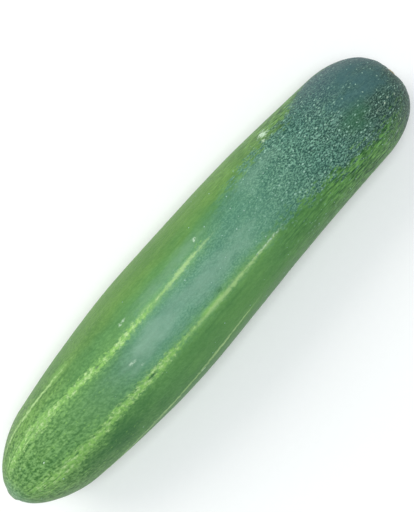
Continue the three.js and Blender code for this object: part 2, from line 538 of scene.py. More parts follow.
def grow(name, tree, settings):
    """Runs a tree with the settings given, and returns an object that holds the result as a plain mesh."""
    piece = bpy.data.objects.new(name, bpy.data.meshes.new(name))
    bpy.context.scene.collection.objects.link(piece)
    modifier = piece.modifiers.new(name, "NODES")
    modifier.node_group = tree
    by_name = {setting.name: setting.identifier for setting in settings.bl_rna.properties}
    for socket in tree.interface.items_tree:
        if socket.in_out == "INPUT":
            modifier[socket.identifier] = getattr(settings, by_name[socket.name])
    depsgraph = bpy.context.evaluated_depsgraph_get()
    grown = bpy.data.meshes.new_from_object(
        piece.evaluated_get(depsgraph), preserve_all_data_layers=True, depsgraph=depsgraph
    )
    piece.modifiers.clear()
    piece.data = grown
    grown.name = name
    if not grown.polygons:
        raise RuntimeError(f"{name} grew no faces")
    grown.shade_smooth()
    return piece


def settle_piece(piece):
    """Makes a finished piece ride on the fruit's body."""
    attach(piece, "root")


def ring_places(tree, size, step):
    """How far along the fruit each ring is, with the rings crowded towards both tips."""
    reached = {}
    for end, start, share in (("Blossom", 0.0, BLOSSOM_SHARE), ("Stem", 1.0, 1 - STEM_SHARE)):
        turn = add(tree, RANGE, step, start, share, 0.0, 1.0)
        turn = add(tree, MATH, turn, CAP_RING_POWER, operation="POWER")
        turn = add(tree, MATH, turn, math.pi / 2, operation="MULTIPLY")
        left = add(tree, MATH, turn, operation="COSINE")
        done = add(tree, MATH, 1.0, left, operation="SUBTRACT")
        reached[end] = add(tree, MATH, done, size[end + " Cap"], operation="MULTIPLY")
    caps = add(tree, MATH, size["Blossom Cap"], size["Stem Cap"], operation="ADD")
    straight = add(tree, MATH, size["Length"], caps, operation="SUBTRACT")
    between = add(tree, RANGE, step, BLOSSOM_SHARE, 1 - STEM_SHARE, 0.0, 1.0)
    x = add(tree, MATH, between, straight, reached["Blossom"], operation="MULTIPLY_ADD")
    stem_done = add(tree, MATH, size["Stem Cap"], reached["Stem"], operation="SUBTRACT")
    return add(tree, MATH, x, stem_done, operation="ADD")


def profile_radius(tree, size, x, to_stem):
    """The half girth of the turned profile at a place along the fruit."""
    before = add(tree, MATH, size["Belly At"], x, operation="SUBTRACT")
    before = add(tree, MATH, before, size["Belly At"], operation="DIVIDE", use_clamp=True)
    before = add(tree, MATH, before, size["Blossom Power"], operation="POWER")
    after = add(tree, MATH, x, size["Belly At"], operation="SUBTRACT")
    behind = add(tree, MATH, size["Length"], size["Belly At"], operation="SUBTRACT")
    after = add(tree, MATH, after, behind, operation="DIVIDE", use_clamp=True)
    after = add(tree, MATH, after, size["Stem Power"], operation="POWER")
    thinned = add(tree, MATH, before, size["Blossom Drop"], operation="MULTIPLY")
    thinned = add(tree, MATH, after, size["Stem Drop"], thinned, operation="MULTIPLY_ADD")
    radius = add(tree, MATH, size["Belly Radius"], thinned, operation="SUBTRACT")
    for distance, end in ((x, "Blossom"), (to_stem, "Stem")):
        share = add(tree, MATH, distance, size[end + " Cap"], operation="DIVIDE")
        gap = add(tree, MATH, 1.0, share, operation="SUBTRACT", use_clamp=True)
        gap = add(tree, MATH, gap, gap, operation="MULTIPLY")
        full = add(tree, MATH, 1.0, gap, operation="SUBTRACT", use_clamp=True)
        root = add(tree, MATH, 1.0, size[end + " Fullness"], operation="DIVIDE")
        full = add(tree, MATH, full, root, operation="POWER")
        radius = add(tree, MATH, radius, full, operation="MULTIPLY")
    return radius


def tip_relief(tree, size, x, to_stem, radius, ridges):
    """How far the scars, the hollow at the stalk and the folds into it move the skin towards +X."""
    at_blossom = add(tree, MATH, x, size["Blossom Cap"], operation="LESS_THAN")
    ring = add(tree, MATH, radius, size["Blossom Scar"], operation="SUBTRACT")
    ring = bell(tree, ring, size["Blossom Width"])
    ring = add(tree, MATH, ring, size["Blossom Rise"], operation="MULTIPLY")
    ring = add(tree, MATH, ring, at_blossom, operation="MULTIPLY")
    at_stem = add(tree, MATH, to_stem, size["Stem Cap"], operation="LESS_THAN")
    inner = add(tree, MATH, size["Stem Scar"], SCAR_EDGE, operation="SUBTRACT")
    outer = add(tree, MATH, size["Stem Scar"], SCAR_EDGE, operation="ADD")
    tip = add(tree, RANGE, radius, inner, outer, size["Stem Rise"], 0.0, interpolation_type="SMOOTHSTEP")
    hollow = bell(tree, radius, size["Dimple Radius"])
    hollow = add(tree, MATH, hollow, size["Dimple Depth"], operation="MULTIPLY")
    tip = add(tree, MATH, tip, hollow, operation="SUBTRACT")
    starting = add(tree, RANGE, radius, size["Stem Scar"], size["Dimple Radius"], 0.0, 1.0)
    ending = add(tree, RANGE, radius, size["Dimple Radius"], FOLDS_REACH, 1.0, 0.0)
    folds = add(tree, MATH, ridges, FOLDS_TURN, operation="SUBTRACT")
    folds = add(tree, MATH, folds, size["Pucker"], operation="MULTIPLY")
    folds = add(tree, MATH, folds, starting, operation="MULTIPLY")
    tip = add(tree, MATH, folds, ending, tip, operation="MULTIPLY_ADD")
    tip = add(tree, MATH, tip, at_stem, operation="MULTIPLY")
    return add(tree, MATH, tip, ring, operation="SUBTRACT")


def side_relief(tree, size, x, along, turn):
    """The ridges' share of each point, and how far they and the three broad sides lift the skin."""
    along_mm = add(tree, MATH, x, 1 / MM, operation="MULTIPLY")
    ridges = 0.0
    for stripe in STRIPES:
        ridge = bell(tree, from_stripe(tree, turn, along_mm, stripe), size["Ridge Width"])
        ridges = add(tree, MATH, ridges, ridge, operation="ADD")
    left = add(tree, MATH, along, size["Ridge Fade"], operation="MULTIPLY")
    left = add(tree, MATH, 1.0, left, operation="SUBTRACT")
    ridge_lift = add(tree, MATH, size["Ridge Height"], left, operation="MULTIPLY")
    lobe = add(tree, MATH, turn, size["Lobe Turn"], operation="SUBTRACT")
    lobe = add(tree, MATH, lobe, math.radians(3), operation="MULTIPLY")
    lobe = add(tree, MATH, lobe, operation="COSINE")
    lobe = add(tree, MATH, lobe, size["Lobe Height"], operation="MULTIPLY")
    return ridges, add(tree, MATH, ridges, ridge_lift, lobe, operation="MULTIPLY_ADD")


def sideways_bow(tree, size, along):
    """How far the middle of the fruit is bowed towards +Y."""
    bow = add(tree, MATH, along, size["Bow Power"], operation="POWER")
    bow = add(tree, MATH, bow, math.pi, operation="MULTIPLY")
    bow = add(tree, MATH, bow, operation="SINE")
    bow = add(tree, MATH, bow, bow, operation="MULTIPLY")
    return add(tree, MATH, bow, size["Bow"], operation="MULTIPLY")


def rested(tree, size, mesh):
    """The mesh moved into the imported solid's box, with its underside below the floor by the flat spot."""
    box = add(tree, "GeometryNodeBoundBox", mesh).outputs
    low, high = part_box(NODE)
    middle = add(tree, VECTOR, box["Min"], box["Max"], operation="ADD")
    middle = add(tree, VECTOR, middle, (-0.5, -0.5, 0.0), operation="MULTIPLY")
    lowest = add(tree, SEPARATE, box["Min"]).outputs["Z"]
    drop = add(tree, MATH, lowest, size["Rest Depth"], operation="ADD")
    drop = add(tree, MATH, drop, -1.0, operation="MULTIPLY")
    move = add(tree, VECTOR, middle, add(tree, COMBINE, 0.0, 0.0, drop), operation="ADD")
    packed_middle = (low + high) / 2 * Vector((1, 1, 0))
    move = add(tree, VECTOR, move, packed_middle, operation="ADD")
    return add(tree, "GeometryNodeSetPosition", mesh, named={"Offset": move})


def fine_relief(tree, size, mesh):
    """The mesh with swellings of the flesh, lengthwise furrows and a pebbled skin, pressed flat below."""
    here = add(tree, "GeometryNodeInputPosition")
    here = add(tree, VECTOR, here, (1 / MM, 1 / MM, 1 / MM), operation="MULTIPLY")
    lengthwise = add(tree, VECTOR, here, (0.12, 1.0, 1.0), operation="MULTIPLY")
    heights = 0.0
    for vector, grain, detail, height in (
        (here, 30.0, 1.0, "Swell"),
        (lengthwise, 3.2, 2.0, "Furrow"),
        (here, 2.2, 1.0, "Pebble"),
    ):
        wave = add(tree, NOISE, vector, 1 / grain, detail)
        wave = add(tree, MATH, wave, 0.5, operation="SUBTRACT")
        heights = add(tree, MATH, wave, size[height], heights, operation="MULTIPLY_ADD")
    normal = add(tree, "GeometryNodeInputNormal")
    lift = add(tree, VECTOR, normal, named={"Scale": heights}, operation="SCALE")
    mesh = add(tree, "GeometryNodeSetPosition", mesh, named={"Offset": lift})
    place = add(tree, "GeometryNodeInputPosition")
    place = add(tree, VECTOR, place, (-1.0, -1.0, 0.0), operation="MAXIMUM")
    return add(tree, "GeometryNodeSetPosition", mesh, named={"Position": place})


def body_tree(material):
    """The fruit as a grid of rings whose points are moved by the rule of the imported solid.

    Its UV map "skin" has the share of a turn round the fruit, from the seam on the underside, and the
    share of the length from the blossom tip. "half_girth" is the profile's radius at each point.
    """
    tree, size = open_tree("Cucumber body", CucumberShape)
    grid = add(tree, "GeometryNodeMeshGrid", 1.0, 1.0, size["Rings"], size["Segments"])
    place = add(tree, SEPARATE, add(tree, "GeometryNodeInputPosition")).outputs
    step = add(tree, MATH, place["X"], 0.5, operation="ADD")
    around = add(tree, MATH, place["Y"], 0.5, operation="ADD")
    x = ring_places(tree, size, step)
    along = add(tree, MATH, x, size["Length"], operation="DIVIDE")
    to_stem = add(tree, MATH, size["Length"], x, operation="SUBTRACT")
    radius = profile_radius(tree, size, x, to_stem)
    turn = add(tree, RANGE, around, 0.0, 1.0, SEAM - 360.0, SEAM)
    ridges, relief = side_relief(tree, size, x, along, turn)
    share = add(tree, MATH, radius, size["Belly Radius"], operation="DIVIDE", use_clamp=True)
    lifted = add(tree, MATH, relief, share, radius, operation="MULTIPLY_ADD")
    angle = add(tree, MATH, turn, operation="RADIANS")
    across = add(tree, MATH, add(tree, MATH, angle, operation="SINE"), lifted, operation="MULTIPLY")
    up = add(tree, MATH, add(tree, MATH, angle, operation="COSINE"), lifted, operation="MULTIPLY")
    spot = add(
        tree,
        COMBINE,
        add(tree, MATH, x, tip_relief(tree, size, x, to_stem, radius, ridges), operation="ADD"),
        add(tree, MATH, sideways_bow(tree, size, along), across, operation="SUBTRACT"),
        add(tree, MATH, along, size["Lean"], up, operation="MULTIPLY_ADD"),
    )
    skin_uv = add(tree, COMBINE, around, along, 0.0)
    named = {"Name": "skin", "Value": skin_uv}
    store = "GeometryNodeStoreNamedAttribute"
    mesh = add(tree, store, grid, named=named, data_type="FLOAT2", domain="CORNER")
    mesh = add(tree, store, mesh, named={"Name": "half_girth", "Value": radius})
    mesh = add(tree, "GeometryNodeSetPosition", mesh, named={"Position": spot})
    mesh = add(tree, "GeometryNodeMergeByDistance", mesh, named={"Distance": MERGE_WITHIN})
    mesh = fine_relief(tree, size, rested(tree, size, mesh))
    close_tree(tree, mesh, material)
    return tree


def dots_tree(material):
    """Tiny domes scattered over the skin, closer together towards the stem end."""
    tree, size = open_tree("Cucumber dots", CucumberDots)
    body = add(tree, "GeometryNodeObjectInfo", bpy.data.objects["cucumber_body"])
    skin = add(tree, "GeometryNodeInputNamedAttribute", "skin", data_type="FLOAT_VECTOR")
    along = add(tree, SEPARATE, skin).outputs["Y"]
    closer = add(tree, RANGE, along, 0.5, 0.82, 0.05, 1.0, interpolation_type="SMOOTHSTEP")
    height = add(tree, SEPARATE, add(tree, "GeometryNodeInputPosition")).outputs["Z"]
    clear = add(tree, MATH, height, size["Clearance"], operation="GREATER_THAN")
    points = add(
        tree,
        "GeometryNodeDistributePointsOnFaces",
        body.outputs["Geometry"],
        named={
            "Distance Min": size["Apart"],
            "Density Max": size["Per Area"],
            "Density Factor": add(tree, MATH, closer, clear, operation="MULTIPLY"),
            "Seed": size["Seed"],
        },
        distribute_method="POISSON",
    )
    dome = add(tree, "GeometryNodeMeshUVSphere", 8, 4, size["Radius"])
    flat = add(tree, "GeometryNodeTransform", dome, named={"Scale": (1.0, 1.0, 0.3)})
    spread = add(tree, "FunctionNodeRandomValue", 0.35, 1.0, named={"Seed": size["Seed"]})
    scattered = add(
        tree,
        "GeometryNodeInstanceOnPoints",
        points.outputs["Points"],
        named={"Instance": flat, "Rotation": points.outputs["Rotation"], "Scale": spread},
    )
    close_tree(tree, scattered, material)
    return tree


def open_material(name, roughness, ior):
    """Starts a material and returns it with its tree and its shader."""
    material = bpy.data.materials.new(name)
    material.use_nodes = True
    shader = material.node_tree.nodes["Principled BSDF"]
    shader.inputs["Roughness"].default_value = roughness
    shader.inputs["IOR"].default_value = ior
    return material, material.node_tree, shader


def place_in_mm(tree):
    """Where a point of a piece is, in mm."""
    place = add(tree, "ShaderNodeTexCoord").outputs["Object"]
    return add(tree, VECTOR, place, (1 / MM, 1 / MM, 1 / MM), operation="MULTIPLY")


def skin_places(tree):
    """Where a point is on the skin, in mm and degrees, and the spaces that its patterns are drawn in."""
    share = add(tree, SEPARATE, add(tree, "ShaderNodeUVMap", uv_map="skin")).outputs
    length = bpy.context.scene.cucumber_shape.length / MM
    radius = bpy.context.scene.cucumber_shape.belly_radius / MM
    along = add(tree, MATH, share["Y"], length, operation="MULTIPLY")
    turn = add(tree, RANGE, share["X"], 0.0, 1.0, SEAM - 360.0, SEAM)
    girth = add(tree, "ShaderNodeAttribute", attribute_name="half_girth").outputs["Fac"]
    angle = add(tree, MATH, turn, operation="RADIANS")
    rolled = add(
        tree,
        COMBINE,
        along,
        add(tree, MATH, add(tree, MATH, angle, operation="SINE"), radius, operation="MULTIPLY"),
        add(tree, MATH, add(tree, MATH, angle, operation="COSINE"), radius, operation="MULTIPLY"),
    )
    return {
        "along": along,
        "turn": turn,
        "per_degree": add(tree, MATH, girth, math.radians(1) / MM, operation="MULTIPLY"),
        "place": place_in_mm(tree),
        "rolled": rolled,
    }


def pattern(tree, space, grain, low, high, detail=2.0, stretch=1.0, slant=0.0):
    """A cloudy pattern from 0 to 1 whose grain is a size in mm, drawn out along the fruit and slanted."""
    turned = add(tree, "ShaderNodeVectorRotate", space, named={"Angle": math.radians(slant)})
    drawn = add(tree, VECTOR, turned, (1 / stretch, 1.0, 1.0), operation="MULTIPLY")
    cloud = add(tree, NOISE, drawn, 1 / grain, detail, 0.6)
    return add(tree, RANGE, cloud, low, high, 0.0, 1.0)


def patch(tree, here, ragged, shape):
    """A soft, ragged oval on the skin: 0 outside and its strength inside."""
    along, angle, length, width, strength = (float(value) for value in shape)
    ahead = add(tree, MATH, here["along"], along, operation="SUBTRACT")
    ahead = add(tree, MATH, ahead, 2 / length, operation="MULTIPLY")
    aside = add(tree, MATH, here["turn"], angle, operation="SUBTRACT")
    aside = add(tree, MATH, aside, 180.0, -180.0, operation="WRAP")
    aside = add(tree, MATH, aside, here["per_degree"], operation="MULTIPLY")
    aside = add(tree, MATH, aside, 2 / width, operation="MULTIPLY")
    away = add(tree, VECTOR, add(tree, COMBINE, ahead, aside, 0.0), operation="LENGTH").outputs["Value"]
    away = add(tree, MATH, away, ragged, operation="ADD")
    return add(tree, RANGE, away, 1.3, 0.5, 0.0, strength, interpolation_type="SMOOTHSTEP")


def patches(tree, here, ragged, shapes):
    """The strongest of several patches at each point."""
    most = 0.0
    for shape in shapes:
        most = add(tree, MATH, most, patch(tree, here, ragged, shape), operation="MAXIMUM")
    return most


def fade(tree, first, *changes, by):
    """A colour or number that changes along the fruit: each change has its value, start and end in mm."""
    value = first
    for later, start, end in changes:
        share = add(tree, RANGE, by, float(start), float(end), 0.0, 1.0, interpolation_type="SMOOTHSTEP")
        kind = "FLOAT" if isinstance(later, float) else "RGBA"
        value = add(tree, MIX, share, value, later, data_type=kind)
    return value


def back_zone(tree, here):
    """Where the blue green back lies: a band along the top that widens and covers the stem's tip."""
    along = here["along"]
    upper = fade(tree, -17.0, (-33.0, 60, 88), (-50.0, 112, 160), (-88.0, 164, 188), by=along)
    lower = fade(tree, 24.0, (36.0, 145, 175), by=along)
    tufts = pattern(tree, here["rolled"], GRAIN["tuft"], 0.2, 0.8, detail=4.0, stretch=3.0)
    tufts = add(tree, MATH, tufts, 0.5, operation="SUBTRACT")
    rough = fade(tree, 7.0, (26.0, 120, 160), by=along)
    turn = add(tree, MATH, tufts, rough, here["turn"], operation="MULTIPLY_ADD")
    soft = fade(tree, 12.0, (8.0, 120, 160), by=along)
    above = add(tree, MATH, add(tree, MATH, turn, upper, operation="SUBTRACT"), soft, operation="DIVIDE")
    below = add(tree, MATH, add(tree, MATH, lower, turn, operation="SUBTRACT"), soft, operation="DIVIDE")
    inside = add(tree, MATH, above, below, operation="MINIMUM")
    dashes = pattern(tree, here["rolled"], GRAIN["fringe"], 0.36, 0.64, detail=4.0, stretch=2.6)
    dashes = add(tree, MATH, dashes, 0.5, operation="SUBTRACT")
    mixed = fade(tree, 0.2, (2.2, 118, 156), by=along)
    inside = add(tree, MATH, dashes, mixed, inside, operation="MULTIPLY_ADD")
    inside = add(tree, RANGE, inside, -0.5, 1.0, 0.0, 1.0, interpolation_type="SMOOTHSTEP")
    flank = add(tree, RANGE, here["turn"], -30.0, -16.0, 0.5, 1.0, interpolation_type="SMOOTHSTEP")
    flank = add(tree, MIX, fade(tree, 0.0, (1.0, 108, 146), by=along), flank, 1.0, data_type="FLOAT")
    inside = add(tree, MATH, inside, flank, operation="MULTIPLY")
    inside = add(tree, MATH, inside, fade(tree, 0.0, (1.0, 25, 75), by=along), operation="MULTIPLY")
    capped = add(tree, MATH, dashes, 16.0, along, operation="MULTIPLY_ADD")
    capped = add(tree, RANGE, capped, 182.0, 204.0, 0.0, 1.0, interpolation_type="SMOOTHSTEP")
    return add(tree, MATH, inside, capped, operation="MAXIMUM")


def stripe_masks(tree, here):
    """How strongly the stripes, the lighter green beside them and the thin pale stripes show."""
    along = here["along"]
    wander = pattern(tree, here["rolled"], GRAIN["wander"], 0.2, 0.8)
    wander = add(tree, RANGE, wander, 0.0, 1.0, -0.5, 0.5)
    jag = pattern(tree, here["place"], GRAIN["jag"], 0.3, 0.7, detail=4.0, stretch=1.8, slant=20)
    jag = add(tree, RANGE, jag, 0.0, 1.0, -1.2, 1.2)
    broad = pattern(tree, here["rolled"], GRAIN["swelling"], 0.3, 0.7, stretch=1.5)
    broad = add(tree, RANGE, broad, 0.0, 1.0, 0.6, 1.5)
    strands = pattern(tree, here["rolled"], GRAIN["strand"], 0.42, 0.54, detail=2.0, stretch=12.0)
    whole = fade(tree, 0.0, (1.0, 14, 40), by=along)
    faint = fade(tree, 1.0, (0.72, 70, 100), by=along)
    strands = add(tree, MATH, strands, whole, operation="MAXIMUM")
    rough = fade(tree, 1.0, (0.45, 58, 92), by=along)
    core = 0.0
    beside = 0.0
    thin = 0.0
    for stripe in STRIPES:
        half_width, start, end, strength = (float(value) for value in stripe[3:])
        arc = from_stripe(tree, here["turn"], along, stripe)
        arc = add(tree, MATH, arc, here["per_degree"], wander, operation="MULTIPLY_ADD")
        away = add(tree, MATH, arc, operation="ABSOLUTE")
        shown = fade(tree, 0.0, (1.0, start, start + 12), (0.0, end - 20, end), by=along)
        width = add(tree, MATH, broad, half_width, operation="MULTIPLY")
        if half_width < THIN_STRIPE:
            narrowed = fade(tree, 0.4, (1.0, start, start + 20), (0.4, end - 30, end), by=along)
        else:
            widths = ((1.15, 20, 38), (1.0, 40, 60), (0.6, 66, 98), (0.35, 98, end))
            narrowed = fade(tree, 1.9, *widths, by=along)
        width = add(tree, MATH, width, narrowed, operation="MULTIPLY")
        ragged = add(tree, MATH, rough, min(1.0, half_width), operation="MULTIPLY")
        edge = add(tree, MATH, jag, ragged, width, operation="MULTIPLY_ADD")
        inside = add(tree, MATH, edge, away, operation="SUBTRACT")
        soft = 0.3 + 0.4 * half_width
        inside = add(tree, RANGE, inside, -soft / 2, soft, 0.0, strength, interpolation_type="SMOOTHSTEP")
        inside = add(tree, MATH, inside, shown, operation="MULTIPLY")
        if half_width < THIN_STRIPE:
            thin = add(tree, MATH, thin, inside, operation="MAXIMUM")
            continue
        inside = add(tree, MATH, inside, faint, operation="MULTIPLY")
        core = add(tree, MATH, core, inside, operation="MAXIMUM")
        near = bell(tree, away, 1.0 + 1.3 * half_width)
        near = add(tree, MATH, near, shown, operation="MULTIPLY")
        beside = add(tree, MATH, beside, near, operation="MAXIMUM")
    core = add(tree, MATH, core, strands, operation="MULTIPLY")
    return {"core": core, "beside": beside, "thin": thin}


def skin_masks(tree, here):
    """The patterns that the skin's layers share, and where its back, film and painted sheen, flecks,
    scuffs and painted glints lie.
    """
    place, rolled, along = here["place"], here["rolled"], here["along"]
    ragged = pattern(tree, place, GRAIN["ragged"], 0.25, 0.75, detail=2.0, stretch=1.3)
    soft = pattern(tree, place, GRAIN["soft"], 0.2, 0.8, stretch=2.0)
    drift = pattern(tree, rolled, GRAIN["drift"], 0.2, 0.8, stretch=3.0)
    mottle = pattern(tree, place, GRAIN["mottle"], 0.4, 0.61, detail=5.0, stretch=1.8, slant=24)
    fleck = pattern(tree, rolled, GRAIN["fleck"], 0.43, 0.61, detail=5.0, stretch=1.5)
    streak = pattern(tree, rolled, GRAIN["streak"], 0.3, 0.7, detail=2.0, stretch=14.0)
    dash = pattern(tree, rolled, GRAIN["dash"], 0.38, 0.64, detail=3.0, stretch=3.5)
    cloud = pattern(tree, place, GRAIN["cloud"], 0.25, 0.75, detail=3.0, stretch=2.0)
    zone = back_zone(tree, here)
    # The film holds a painted sheen and the smooth patch a painted reflection; flecks are left out under
    # both
    film = patches(tree, here, soft, FILMS_AND_SHEEN)
    smooth = patch(tree, here, soft, SMOOTH_REFLECTION_PATCH)
    bare = add(tree, MATH, film, smooth, operation="MAXIMUM")
    bare = add(tree, MATH, 1.0, bare, operation="SUBTRACT")
    flecked = fade(tree, 0.1, (0.24, 60, 120), (1.0, 130, 170), by=along)
    flecked = add(tree, MATH, flecked, bare, operation="MULTIPLY")
    flecked = add(tree, MATH, flecked, zone, operation="MULTIPLY")
    patchy = add(tree, RANGE, cloud, 0.0, 1.0, 0.7, 1.0)
    scuff_and_glint_breakup = add(tree, RANGE, ragged, 0.85, 0.4, 0.0, 1.0)
    # Scuffs, with painted glints of highlight by the stem among them
    scuffs = patches(tree, here, ragged, SCUFFS_AND_GLINTS)
    return {
        "ragged": ragged,
        "soft": soft,
        "drifted": add(tree, MATH, drift, 14.0, here["turn"], operation="MULTIPLY_ADD"),
        "mottle": mottle,
        "fleck": fleck,
        "streak": streak,
        "dash": dash,
        "cloud": cloud,
        "zone": zone,
        "film": film,
        "smooth": smooth,
        "bare": bare,
        "flecked": add(tree, MATH, flecked, patchy, operation="MULTIPLY"),
        "scuffs": add(tree, MATH, scuffs, scuff_and_glint_breakup, operation="MULTIPLY"),
    }


def greens(tree, here, skin):
    """The greens that change along the fruit and round it, and the yellow patch under it."""
    along, drifted = here["along"], here["drifted"]
    colour = fade(
        tree,
        skin.blossom_tip,
        (skin.blossom, 1, 7),
        (skin.belly, 22, 72),
        (skin.shoulder, 125, 170),
        by=along,
    )
    # The side facing +Y: yellower, and painted lighter where the side light falls
    facing = add(tree, RANGE, drifted, -26.0, -44.0, 0.0, 1.0, interpolation_type="SMOOTHSTEP")
    reach = add(tree, RANGE, drifted, -150.0, -115.0, 0.0, 1.0, interpolation_type="SMOOTHSTEP")
    facing = add(tree, MATH, facing, reach, operation="MULTIPLY")
    lengths = fade(tree, 0.7, (1.0, 35, 85), (0.45, 150, 190), by=along)
    facing = add(tree, MATH, facing, lengths, operation="MULTIPLY")
    colour = add(tree, MIX, facing, colour, skin.yellow_lit_side, data_type="RGBA")
    ground_edge = pattern(tree, here["place"], GRAIN["ground"], 0.2, 0.8, detail=3.0, stretch=2.0)
    ground = patch(tree, here, ground_edge, GROUND_PATCH)
    colour = add(tree, MIX, ground, colour, skin.ground, data_type="RGBA")
    back = fade(
        tree,
        skin.back_blossom,
        (skin.back_middle, 40, 90),
        (skin.back_stem, 128, 172),
        (skin.stem_tip, 162, 198),
        by=along,
    )
    return add(tree, MIX, here["zone"], colour, back, data_type="RGBA")


def textured(tree, here, skin, colour):
    """The greens with mottles on the blossom half, flecks and dashes on the stem half, and streaks.

    The upper side near the stem is tinted slate, partly bluish bloom and partly painted reflection.
    Fine dark lines, painted shade low by the blossom end and darker patches darken the skin.
    """
    along = here["along"]
    dashed = add(tree, MATH, 1.0, here["zone"], operation="SUBTRACT")
    by_stem = fade(tree, 0.0, (0.3, 120, 144), (1.0, 148, 172), by=along)
    amounts = {
        "cloud": 1.0,
        "streak": fade(tree, 1.0, (0.35, 30, 60), (0.7, 140, 170), by=along),
        "mottle": fade(tree, 1.0, (0.32, 15, 56), (0.14, 56, 86), (0.3, 150, 180), by=along),
        "dash": add(tree, MATH, dashed, by_stem, operation="MULTIPLY"),
        "fleck": here["flecked"],
    }
    for kind, amount in amounts.items():
        gain = add(tree, MIX, here[kind], *GAINS[kind], data_type="VECTOR")
        gained = add(tree, VECTOR, colour, gain, operation="MULTIPLY")
        colour = add(tree, MIX, amount, colour, gained, data_type="RGBA")

    # Slate near the stem, upper side and smooth patch: partly bluish bloom, partly painted reflection
    high = add(tree, RANGE, here["drifted"], 10.0, -45.0, 0.0, 0.38, interpolation_type="SMOOTHSTEP")
    high = add(tree, MATH, high, fade(tree, 0.0, (1.0, 164, 192), by=along), operation="MULTIPLY")
    high = add(tree, MATH, high, here["zone"], operation="MULTIPLY")
    slate_and_reflection_amount = add(tree, MATH, here["smooth"], 0.5, operation="MULTIPLY")
    slate_and_reflection_amount = add(tree, MATH, slate_and_reflection_amount, high, operation="MAXIMUM")
    colour = add(tree, MIX, slate_and_reflection_amount, colour, skin.slate_and_reflection, data_type="RGBA")
    slightly = add(tree, MATH, here["ragged"], 0.3, operation="MULTIPLY")
    dark_lines = patches(tree, here, slightly, DARK_LINES)
    # Painted shade low on the blossom side, and darker patches by the stem and underneath
    shades_and_darker_patches = patches(tree, here, here["soft"], SHADES_AND_DARKER_PATCHES)
    darker = add(tree, MATH, dark_lines, shades_and_darker_patches, operation="MAXIMUM")
    return add(tree, MIX, darker, colour, skin.gap, data_type="RGBA")


def striped(tree, here, skin, colour):
    """The textured green with its stripes, the blots and glows beside them, and the gaps in them."""
    place, along, ragged = here["place"], here["along"], here["ragged"]
    blots = patches(tree, here, ragged, BLOTS)
    tufted = add(tree, RANGE, here["mottle"], 0.2, 1.0, 0.05, 0.55)
    evened = fade(tree, 0.0, (1.0, 55, 85), by=along)
    tufted = add(tree, MIX, evened, tufted, 0.36, data_type="FLOAT")
    beside = add(tree, MATH, here["beside"], tufted, operation="MULTIPLY")
    blotted = add(tree, RANGE, ragged, 0.0, 1.0, 1.0, 0.35)
    blots = add(tree, MATH, blots, blotted, operation="MULTIPLY")
    light = add(tree, MATH, here["core"], blots, operation="MAXIMUM")
    light = add(tree, MATH, light, beside, operation="MAXIMUM")
    granule = pattern(tree, place, GRAIN["bead"], 0.36, 0.56, detail=3.0, stretch=1.2)
    granule = add(tree, RANGE, granule, 0.0, 1.0, 0.4, 1.0)
    light = add(tree, MATH, light, granule, operation="MULTIPLY")
    light = add(tree, MATH, light, patches(tree, here, here["soft"], GLOWS), operation="MAXIMUM")
    colour = add(tree, MIX, light, colour, skin.stripe, data_type="RGBA")

    # Paler beads inside the stripes, and the thin pale stripes
    bead = pattern(tree, place, GRAIN["bead"], 0.48, 0.76, detail=4.0, stretch=1.5)
    bead = add(tree, MATH, bead, fade(tree, 0.0, (0.55, 84, 104), by=along), operation="MAXIMUM")
    bead = add(tree, MATH, bead, here["core"], operation="MULTIPLY")
    broken = add(tree, RANGE, here["streak"], 0.0, 0.8, 0.35, 1.0)
    thin = add(tree, MATH, here["thin"], broken, operation="MULTIPLY")
    colour = add(tree, MIX, thin, colour, skin.stripe, data_type="RGBA")
    thin = add(tree, MATH, thin, 0.7, operation="MULTIPLY")
    bead = add(tree, MATH, bead, thin, operation="MAXIMUM")
    colour = add(tree, MIX, bead, colour, skin.stripe_pale, data_type="RGBA")
    gap_edge = add(tree, MATH, ragged, 0.7, operation="MULTIPLY")
    gaps = patches(tree, here, gap_edge, GAPS)
    return add(tree, MIX, gaps, colour, skin.gap, data_type="RGBA")


def marked(tree, here, skin, colour):
    """The striped green under its film and painted sheen, with pale specks, dry scuffs and painted glints.
    """
    # Mixes in the film: partly waxy bloom, partly a painted sheen of the light above
    film_and_sheen_amount = add(tree, MATH, here["film"], 0.7, operation="MULTIPLY")
    colour = add(tree, MIX, film_and_sheen_amount, colour, skin.film, data_type="RGBA")

    # Specks up to 0.8 mm wide, at most one to a cell 1 mm wide and 1.6 mm long. They are pale near the
    # stem and green by the flower.
    cells = add(tree, VECTOR, here["rolled"], (1 / 1.6, 1.0, 1.0), operation="MULTIPLY")
    cells = add(tree, "ShaderNodeTexVoronoi", cells, 1.0).outputs
    drawn = add(tree, SEPARATE, cells["Color"]).outputs["X"]
    drawn = add(tree, RANGE, drawn, 0.25, 1.0, 0.0, 0.42)
    speck = add(tree, MATH, drawn, cells["Distance"], operation="SUBTRACT")
    speck = add(tree, RANGE, speck, 0.0, 0.2, 0.0, 0.75)
    speck = add(tree, MATH, speck, here["bare"], operation="MULTIPLY")
    pale = fade(tree, 0.0, (1.0, 120, 160), by=here["along"])
    on_back = add(tree, RANGE, here["zone"], 0.0, 1.0, 0.35, 1.0)
    pale = add(tree, MATH, pale, on_back, operation="MULTIPLY")
    green = fade(tree, 0.7, (0.0, 34, 72), by=here["along"])
    for amount, tint in ((pale, skin.pore), (green, skin.stripe)):
        amount = add(tree, MATH, speck, amount, operation="MULTIPLY")
        colour = add(tree, MIX, amount, colour, tint, data_type="RGBA")
    # Scuffs, and painted glints of highlight by the stem
    return add(tree, MIX, here["scuffs"], colour, skin.scuff_and_glint, data_type="RGBA")


